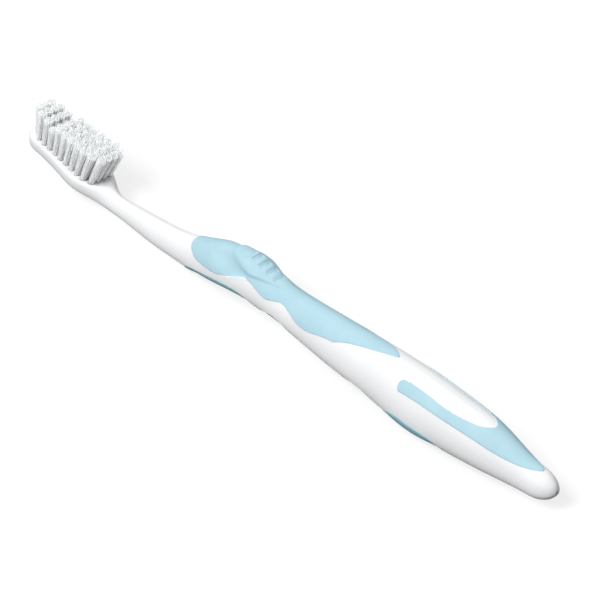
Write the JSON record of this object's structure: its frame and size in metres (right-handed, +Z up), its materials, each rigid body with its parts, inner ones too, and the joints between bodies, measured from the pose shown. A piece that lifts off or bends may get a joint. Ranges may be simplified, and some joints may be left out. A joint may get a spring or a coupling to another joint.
{
  "type": "manual toothbrush",
  "caption": "Manual toothbrush with a curved two-material handle, soft thumb, tail and back grips, a ribbed thumb platform and a fanned field of bristle tufts on a small raised head.",
  "frame": {"origin": "middle of the brush's length and width, on the surface that it rests on", "axes": "+X from the head to the tail, +Y across the handle, +Z up, the way the bristles point"},
  "size_m": [0.1872, 0.0144, 0.0201],
  "materials": {
    "white_plastic": "glossy moulded",
    "soft_grip": "satin soft-touch",
    "bristle": "translucent filament",
    "anchor_metal": "rolled strip"
  },
  "bodies": {
    "root": {"back_grip": "soft_grip", "handle_core": "white_plastic", "tail_grip": "soft_grip", "thumb_grip": "soft_grip", "tuft_anchors": "anchor_metal", "tuft_column_01_row_1": "bristle", "tuft_column_01_row_2": "bristle", "tuft_column_01_row_3": "bristle", "tuft_column_01_row_4": "bristle", "tuft_column_02_row_1": "bristle", "tuft_column_02_row_2": "bristle", "tuft_column_02_row_3": "bristle", "tuft_column_02_row_4": "bristle", "tuft_column_03_row_1": "bristle", "tuft_column_03_row_2": "bristle", "tuft_column_03_row_3": "bristle", "tuft_column_03_row_4": "bristle", "tuft_column_04_row_1": "bristle", "tuft_column_04_row_2": "bristle", "tuft_column_04_row_3": "bristle", "tuft_column_04_row_4": "bristle", "tuft_column_05_row_1": "bristle", "tuft_column_05_row_2": "bristle", "tuft_column_05_row_3": "bristle", "tuft_column_05_row_4": "bristle", "tuft_column_06_row_1": "bristle", "tuft_column_06_row_2": "bristle", "tuft_column_06_row_3": "bristle", "tuft_column_06_row_4": "bristle", "tuft_column_07_row_1": "bristle", "tuft_column_07_row_2": "bristle", "tuft_column_07_row_3": "bristle", "tuft_column_07_row_4": "bristle", "tuft_column_08_row_1": "bristle", "tuft_column_08_row_2": "bristle", "tuft_column_08_row_3": "bristle", "tuft_column_08_row_4": "bristle", "tuft_column_09_row_1": "bristle", "tuft_column_09_row_2": "bristle", "tuft_column_09_row_3": "bristle", "tuft_column_09_row_4": "bristle", "tuft_column_10_row_1": "bristle", "tuft_column_10_row_2": "bristle", "tuft_column_10_row_3": "bristle", "tuft_column_10_row_4": "bristle", "tuft_column_11_row_1": "bristle", "tuft_column_11_row_2": "bristle"}
  },
  "joints": []
}
